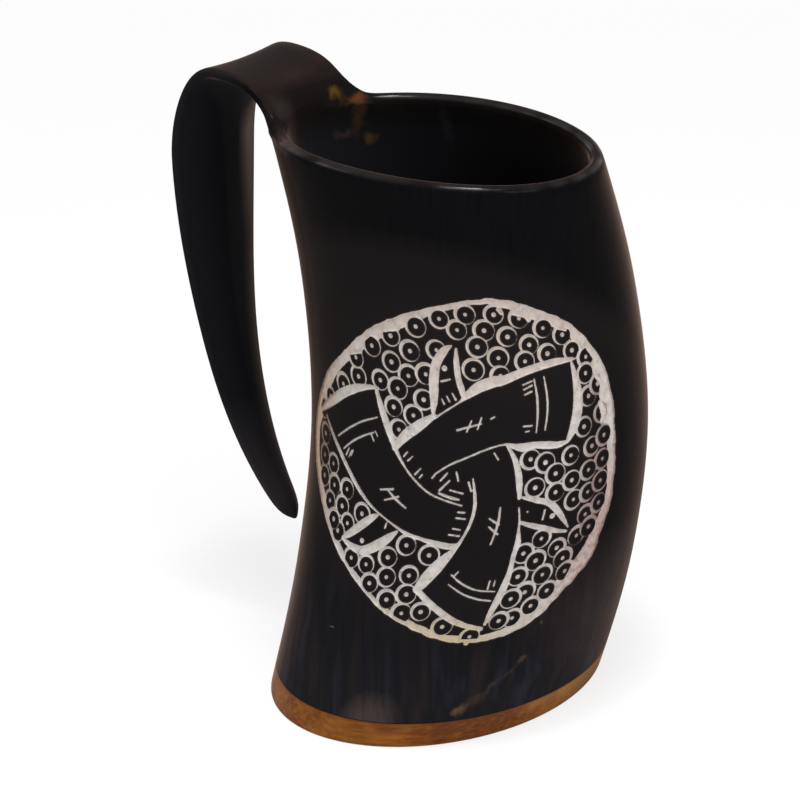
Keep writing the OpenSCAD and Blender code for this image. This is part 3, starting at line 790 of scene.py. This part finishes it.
wheel = np.clip(0.6 + 0.6 * wobble(points[:, :2], 9.0, 5), 0.15, 1)  # no hand buffs evenly
buffed = rising(upwards, 0.4, 0.6) * rising(upwards, 0.97, 0.87)
buffed *= rising(h, 72, 74) * rising(x, -33, -29) * wheel

s[~outer] = OFF_PAPER
paper_h = np.where(outer & (np.abs(s) > BACK), OFF_PAPER, h)
records = {"cut": cut, "paper_s": s, "paper_h": paper_h, "inside": scraped * rising(h, 72, 66),
           "crest": lit_tops_and_rim, "buffed": buffed}
for name, values in records.items():
    stored = horn.data.attributes.new(name, "FLOAT", "POINT")
    stored.data.foreach_set("value", values.astype(np.float32))
print("thin points:", int((lit_tops_and_rim > 0.1).sum()), "buffed points:", int((buffed > 0.1).sum()))

# %% [markdown]
# ## The carving itself
# A Displace modifier presses the points in by the vertex group. That is real relief, with edges
# that catch the light and a bottom in shadow, where a bump map would leave the outline flat.

# %% Press the cuts in
only(horn)
knife = horn.modifiers.new("knife", "DISPLACE")
knife.vertex_group, knife.direction = "cut_depth", "NORMAL"
knife.mid_level, knife.strength = 0, -DEEPEST * MM
bpy.ops.object.modifier_apply(modifier=knife.name)
horn.vertex_groups.clear()
bpy.ops.object.shade_smooth_by_angle(angle=math.radians(60))
horn.data.calc_loop_triangles()
print("horn triangles:", len(horn.data.loop_triangles), "points in cuts:", int((cut < 0).sum()))

# %% [markdown]
# ## Helpers for patterns in real millimetres
# Every pattern is set in millimetres on the piece itself, so a fibre or a pore has its true size.
# Image textures would need a flat layout of the cup and would blur close up.

# %% Helpers for patterns
def millimetres(tree):
    """The place on the piece, in mm."""
    place = add(tree, "TexCoord", {}, {}).outputs["Object"]
    return add(tree, "VectorMath", {"operation": "SCALE"}, [place, 1 / MM])


def unevenness(tree, where, size, stretch=(1, 1, 1), detail=4, turn=0.0, shift=0.0):
    """Soft bumps from 0 to 1 of this size in mm, drawn out by stretch along each axis."""
    turned = add(tree, "Mapping", {}, {"Vector": where, "Rotation": (0, 0, turn)})
    scale = [1 / (size * longer) for longer in stretch]
    sized = add(tree, "Mapping", {}, {"Vector": turned, "Location": [shift] * 3, "Scale": scale})
    fine = {"Scale": 1.0, "Detail": detail, "Roughness": 0.55}
    return add(tree, "TexNoise", {}, {"Vector": sized, **fine})


def meander(tree, where, scale, reach):
    """The place, pushed to and fro by soft noise within reach, so that outlines wander."""
    push = add(tree, "TexNoise", {}, {"Vector": where, "Scale": scale, "Detail": 4})
    pushing = [push.outputs["Color"], reach, where]
    pushed = add(tree, "VectorMath", {"operation": "MULTIPLY_ADD"}, pushing)
    return add(tree, "VectorMath", {"operation": "SUBTRACT"}, [pushed, [r / 2 for r in reach]])


def spot(tree, where, centre, half_size, turn, edge):
    """A soft-edged oval: 1 in its middle and 0 outside. It is turned by degrees."""
    oval_place = {"Location": centre, "Rotation": (0, 0, math.radians(turn)), "Scale": half_size}
    local = add(tree, "Mapping", {"vector_type": "TEXTURE"}, {"Vector": where, **oval_place})
    away = add(tree, "VectorMath", {"operation": "LENGTH"}, [local])
    return add(tree, "MapRange", {}, [away, 1 + edge / 2, 1 - edge])


print("millimetres in a Blender unit:", round(1 / MM))

# %% [markdown]
# ## Colour in layers
# Colours go on in layers, as stain and light do on the real thing. Each layer is a colour and the
# shares that say how much of it shows, such as how far down or how near a cut a place is. Relief
# that is finer than the mesh goes on in layers too, as bumps that only the light sees.

# %% Helpers for layers
TIMES, COLOURS = {"operation": "MULTIPLY"}, {"data_type": "RGBA"}


def amount(tree, *shares):
    """Shares multiplied. A share is a number, a node, or a row: a value, where on it the share
    starts and where it is full, and its least and greatest size if they aren't 0 and 1."""
    total = None
    for share in shares:
        if isinstance(share, tuple):
            share = add(tree, "MapRange", {}, share)
        total = share if total is None else add(tree, "Math", TIMES, [total, share])
    return total


def layer(tree, below, above, *shares):
    """Lays the colour above over the one below, by the amount that the shares give."""
    return add(tree, "Mix", COLOURS, [amount(tree, *shares), below, above])


def relief(tree, *layers):
    """Relief from pairs of a pattern and its height in mm, each on top of the one before."""
    under = {}
    for pattern, height in layers:
        shape = {"Height": pattern, "Distance": height * MM, "Strength": 1.0}
        under = {"Normal": add(tree, "Bump", {}, {**shape, **under})}
    return under["Normal"]


def dress(piece, material, look):
    """Ends a material with its shader, and puts it on the piece."""
    shader = add(material.node_tree, "BsdfPrincipled", {}, look)
    add(material.node_tree, "OutputMaterial", {}, {"Surface": shader})
    piece.data.materials.append(material)
    print(piece.name, "has", material.name, "with nodes:", len(material.node_tree.nodes))


print("layers mix:", COLOURS["data_type"])

# %% [markdown]
# ## Polished black horn: the skin
# Buffalo horn is nearly black, with fibres that run up the wall. Brown is painted in as painted
# light where light falls on the crest, the lip and the handle's far edge, and a few fibres near the
# base are blue-grey. One material carries the skin and the cuts, since it is one piece of horn. Its
# skin comes first.

# %% Material: horn, fibres and bands
buffalo_horn, tree = new_material("polished_buffalo_horn")
where = millimetres(tree)
along, across, up = add(tree, "SeparateXYZ", {}, [where]).outputs
marked = {name: add(tree, "Attribute", {"attribute_name": name}, {}).outputs["Fac"]
          for name in records}
on_s, on_h, knife_cut = marked["paper_s"], marked["paper_h"], marked["cut"]
paper_place = add(tree, "CombineXYZ", {}, [on_s, on_h])

# real fibres are finer than 0.2 mm, and are drawn 0.9 mm wide so that they show
fibres = unevenness(tree, where, 0.9, (1, 1, 40))
bands = unevenness(tree, where, 4.5, (1, 1, 40), 3, shift=3.0)
black = ((0.3, "08080a"), (0.55, "0a0a0c"), (0.8, "0d0c0c"))
skin = add(tree, "ValToRGB", {"stops": black}, [fibres])
low_down = amount(tree, (up, 56, 14))
skin = layer(tree, skin, "19191d", low_down, 0.75)
skin = layer(tree, skin, "282932", low_down, (bands, 0.5, 0.7, 0, 0.6))  # blue-grey bands
skin = layer(tree, skin, "2b2322", low_down, (bands, 0.5, 0.3, 0, 0.55))  # brown bands
# painted sheen: the lower wall is lighter and browner at the far right, where light grazes it
skin = layer(tree, skin, "3c322e", low_down, (along, 42, 50, 0, 0.7))  # lighter at the far right
print("nodes so far:", len(tree.nodes))

# %% [markdown]
# The bent strip is painted a little greyer and lighter than the wall, a painted light for the light
# that its face, turned to the cup, gets too little of. Its far edge, and more of it towards the
# tip, are painted brown, a painted sheen where light grazes them, palest at the far edge just below
# the bend, a painted lit edge. The tops of the crest and the lip are painted brown where light
# falls on them, and the inside is greyer.

# %% Material: horn, the handle, its painted light and the inside
strip = amount(tree, (along, -46, -56))
taper = add(tree, "Math", TIMES, [up, 0.1])
from_edge = add(tree, "Math", {"operation": "SUBTRACT"}, [across, taper])
lit_edge_below_bend = (up, 108, 134), (up, 145, 137), (along, -71.0, -68.8)
# painted light: the strip is lighter than the wall, for light that its face gets too little of
skin = layer(tree, skin, "19191c", strip, 0.8)
# painted sheen: brown along the strip's far edge, wider towards its tip
skin = layer(tree, skin, "453932", strip, (from_edge, -9.0, -2.5, 0, 0.75))
skin = layer(tree, skin, "363133", (along, -42, -46), (up, 66, 40, 0, 0.7))
# painted lit edge: palest at the far edge just below the bend
skin = layer(tree, skin, "75675e", strip, (across, 1.0, 6.5, 0, 0.8), *lit_edge_below_bend)
patchy = unevenness(tree, where, 9.0, detail=3)
# painted light: brown on the tops of the crest and the lip, and just inside the rim
skin = layer(tree, skin, "281f1c", marked["crest"], (patchy, 0.3, 0.7, 0.6, 1.0))
skin = layer(tree, skin, "1b1b1e", marked["inside"], 0.9)
print("nodes so far:", len(tree.nodes))

# %% [markdown]
# Horn is rarely one colour all through. Amber and brown marbling shows where the handle's strip
# leaves the wall, since there the horn was cut across its layers.

# %% Material: horn, amber marbling
AMBER = (  # centre and half size in mm, colour, and how much of it shows
    ((-39.2, 6.9, 151.8), (1.8, 1.5, 1.7), "5a4215", 0.75),
    ((-38.0, 8.0, 149.6), (1.4, 1.3, 1.8), "33270f", 0.8),
    ((-35.9, 11.8, 149.6), (2.6, 2.0, 1.3), "6a3f13", 0.85),
    ((-35.0, 12.1, 145.0), (2.0, 1.5, 6.0), "36281d", 0.9),
    ((-37.2, 8.6, 140.6), (2.2, 3.2, 1.1), "352b29", 0.9),
    ((-34.1, 15.2, 138.4), (1.5, 1.4, 1.7), "4e3b20", 0.9),
    ((-26.5, -28.5, 150.5), (7.5, 4.0, 2.5), "3a2f2c", 0.8),
    ((-39.5, -14.5, 152.5), (3.0, 5.0, 4.0), "362d2a", 0.5),
    ((-17.5, 26.5, 139.0), (1.6, 3.0, 8.0), "2b2c30", 0.6))
wandering = meander(tree, where, 0.35, (5.0, 5.0, 5.0))
for centre, half_size, code, share in AMBER:
    patch = spot(tree, wandering, centre, half_size, 0, 0.9)
    skin = layer(tree, skin, code, patch, share)
print("amber patches:", len(AMBER))

# %% [markdown]
# A pale flaw runs up to the right from the seam, in pieces, and there are small flecks and a blotch
# at the foot of the wall. Above the roundel a painted reflection lightens the skin, with a curved
# upper edge.

# %% Material: horn, flaws and a painted reflection
FLAWS = (  # centre and half size on the paper in mm, turn in degrees, colour, and share
    ((12.6, -63.9), (1.9, 1.5), 40, "58452f", 0.95), ((15.9, -61.4), (3.2, 1.7), 38, "33291f", 0.9),
    ((19.0, -57.8), (2.6, 0.8), 62, "342c28", 0.8), ((22.6, -54.6), (3.4, 0.6), 40, "2e2825", 0.7),
    ((25.2, -51.0), (1.5, 0.9), 55, "3c3329", 0.9), ((27.8, -40.6), (0.7, 0.6), 0, "4a3534", 0.9),
    ((-29.1, -43.3), (1.1, 0.35), 0, "524a3c", 0.9),
    ((-10.2, -67.2), (7.4, 7.4), 0, "433a35", 0.85))
shaken = meander(tree, paper_place, 0.5, (2.8, 2.8, 0.0))
for centre, half_size, turn, code, share in FLAWS:
    patch = spot(tree, shaken, (*centre, 0), (*half_size, 9), turn, 0.6)
    skin = layer(tree, skin, code, patch, (fibres, 0.35, 0.6, 0.7, 1.0), share)
# painted reflection: a lighter zone above the roundel stands in for the soft reflection on the wall
painted_reflection = spot(tree, paper_place, (-12, -40, 0), (90, 101, 9), 0, 0.05)
skin = layer(tree, skin, "2a2524", painted_reflection, (on_h, 5, 35, 0, 0.25))
print("flaws:", len(FLAWS))

# %% [markdown]
# ## The ground of the cuts
# The cuts show the horn's pale inside, dry and matt. Hands and time have stained it pink and red at
# the lower right and yellow at the bottom, and fine lines take more stain than wide cuts. At the
# left, where the wall turns from the light, the cuts are painted darker and tan, a painted shade.
# Around the cuts the skin is dulled and scuffed by the work.

# %% Material: horn, the cuts
opened = amount(tree, (knife_cut, 0.03, -0.1))
shallow = amount(tree, (knife_cut, -0.5, -0.3))
mottle = unevenness(tree, paper_place, 2.2, detail=5)
grit = unevenness(tree, paper_place, 0.35, detail=3)
stain = unevenness(tree, paper_place, 1.7, detail=6, shift=7.0)
bare = ((0.3, "a49d97"), (0.5, "b6b0ac"), (0.7, "c1bcb9"))
pale = add(tree, "ValToRGB", {"stops": bare}, [mottle])
STAINS_AND_SHADE = (  # colour, and the shares that place it
    # painted shade: tan and darker at the left, where the wall turns from the light
    ("a08468", (on_s, -34, -50, 0, 0.85)),
    ("a98f88", (on_s, 26, 42, 0, 0.8), (on_h, 10, -16)),
    ("b3a380", (on_h, -32, -42, 0, 0.8), (on_s, 22, 8, 0.25, 1.0)),
    ("b09a8a", (on_h, 14, 34, 0, 0.35)),
    ("7d5a55", (on_s, 16, 34), (on_h, 0, -18), (stain, 0.45, 0.7, 0, 0.7)),
    # painted shade: the shallow cuts darker still at the left
    ("54473c", shallow, (on_s, -35, -46, 0, 0.65)),
    ("6f524b", shallow, (on_s, 29, 37, 0, 0.6), (on_h, 28, 18)),
    ("6d5d55", (grit, 0.6, 0.78, 0, 0.4)))
for code, *shares in STAINS_AND_SHADE:
    pale = layer(tree, pale, code, *shares)
worked = spot(tree, paper_place, (-4, 2, 0), (48, 45, 9), 0, 0.12)
skin = layer(tree, skin, "1a1718", worked, 0.6)
skin = layer(tree, skin, "382e29", (knife_cut, 0.5, 0.05, 0, 0.35))
colour = layer(tree, skin, pale, opened)
print("stains:", len(STAINS_AND_SHADE))

# %% [markdown]
# ## The polish
# Horn is polished by hand with wax. That leaves a soft gloss with faint waves and fibres in it, a
# sharper one on the buffed lip, and nearly none in the cuts. Plain gloss would mirror the white
# surround and turn the black horn grey, so it is off. Sheen gives the soft light of waxed fibres,
# and a thin coat, thicker on the lip, gives the sharp one.

# %% Material: horn, its shader
polish = unevenness(tree, where, 9.0, detail=5)
soft = amount(tree, (polish, 0.3, 0.7, 0.2, 0.32))
dry = amount(tree, opened, 0.55)
rough = add(tree, "Math", {"operation": "ADD"}, [soft, dry])
wax = amount(tree, (marked["buffed"], 0, 1, 0.025, 0.5))
waves = unevenness(tree, where, 7.0, detail=2)
fine_fibres = unevenness(tree, where, 0.3, (1, 1, 25), 3)  # nearly their true width
worn = relief(tree, (waves, 0.05), (fine_fibres, 0.003), (amount(tree, opened, grit), 0.08))
dress(horn, buffalo_horn, {
    "Base Color": colour, "Roughness": rough, "IOR": 1.5, "Specular IOR Level": 0.0, "Normal": worn,
    "Coat Weight": wax, "Coat Roughness": 0.12, "Coat IOR": 1.5, "Coat Normal": worn,
    "Sheen Weight": 0.4, "Sheen Roughness": 0.26, "Sheen Tint": "c6a594"})

# %% [markdown]
# ## Wood
# The disc is plain brown hardwood, oiled and not varnished, which leaves it nearly matt. Its grain
# runs across the cup, so the edge shows long streaks in front and short end grain at the two sides.
# It is paler at its right end, a painted glare towards the light at the right, and darker at its
# upper and lower edges, painted shade under the horn and on the floor. Noise that is drawn out
# along the grain gives cloud, grain and pores, each at its own size, and needs no picture of wood.

# %% Material: wood
brown_wood, tree = new_material("oiled_brown_wood")
where = millimetres(tree)
along, _, up = add(tree, "SeparateXYZ", {}, [where]).outputs
GRAIN_TURN = math.radians(-30)
cloud = unevenness(tree, where, 13.0, (1.6, 1, 1), 3, GRAIN_TURN, 2.0)
grain = unevenness(tree, where, 1.0, (18, 1, 1), 6, GRAIN_TURN)
pores = unevenness(tree, where, 0.3, (16, 1, 1), 2, GRAIN_TURN, 5.0)  # wider than real, to show
browns = ((0.32, "522907"), (0.5, "6a3809"), (0.68, "834b11"))
tone = add(tree, "ValToRGB", {"stops": browns}, [grain])
TONES_AND_PAINTED_LIGHT = (  # colour, and the share that places it
    ("966123", (cloud, 0.5, 0.64, 0, 0.45)), ("4a250a", (cloud, 0.5, 0.38, 0, 0.45)),
    # painted glare: b68848 pales the right end, towards the light at the right
    ("42210a", (pores, 0.58, 0.7, 0, 0.4)), ("b68848", (along, 36, 49, 0, 0.6)),
    # painted shade: darker at the upper edge under the horn and at the lower edge on the floor
    ("4a2a14", (up, 6.6, 7.6, 0, 0.6)), ("5a3a20", (up, 0.9, 0.0, 0, 0.5)))
for code, share in TONES_AND_PAINTED_LIGHT:
    tone = layer(tree, tone, code, share)
dress(base, brown_wood, {
    "Base Color": tone, "Roughness": amount(tree, (grain, 0.3, 0.7, 0.48, 0.64)), "IOR": 1.45,
    "Specular IOR Level": 0.12, "Normal": relief(tree, (grain, 0.05), (pores, 0.04)),
    "Sheen Weight": 0.3, "Sheen Roughness": 0.14, "Sheen Tint": "e2ae70"})

# %% [markdown]
# ## Glue
# The glue between horn and wood is dark epoxy. It is squeezed out and not worked afterwards, so it
# is lumpy, with a skin like dark glass under a dull bloom. One noise drives its colour, its gloss
# and its relief, since all three follow the lumps.

# %% Material: glue
dark_glue, tree = new_material("dark_epoxy_glue")
lumps = unevenness(tree, millimetres(tree), 1.4)
tone = add(tree, "ValToRGB", {"stops": ((0.35, "0e0906"), (0.7, "21160e"))}, [lumps])
dress(glue, dark_glue, {
    "Base Color": tone, "Roughness": amount(tree, (lumps, 0.35, 0.7, 0.3, 0.55)), "IOR": 1.5,
    "Specular IOR Level": 0.25, "Normal": relief(tree, (lumps, 0.06))})

# %% [markdown]
# ## Resin
# The bead inside is clear amber resin, poured round the joint. It has soft swirls and tiny bubbles,
# and lets some light through, which Transmission gives without a second, inner mesh.

# %% Material: resin
amber_resin, tree = new_material("clear_amber_resin")
where = millimetres(tree)
swirl = unevenness(tree, where, 5.0)
bubbles = unevenness(tree, where, 0.5, detail=1, shift=2.0)
tone = add(tree, "ValToRGB", {"stops": ((0.35, "4a2a10"), (0.7, "7d4f20"))}, [swirl])
round_bubbles = amount(tree, (bubbles, 0.62, 0.72))
dress(bead, amber_resin, {
    "Base Color": tone, "Roughness": amount(tree, (bubbles, 0.3, 0.7, 0.12, 0.3)), "IOR": 1.5,
    "Transmission Weight": 0.4, "Normal": relief(tree, (swirl, 0.15), (round_bubbles, 0.1))})

# %% [markdown]
# The view transform stays Standard, so that a colour shows as it is written.

bpy.context.scene.view_settings.view_transform = "Standard"
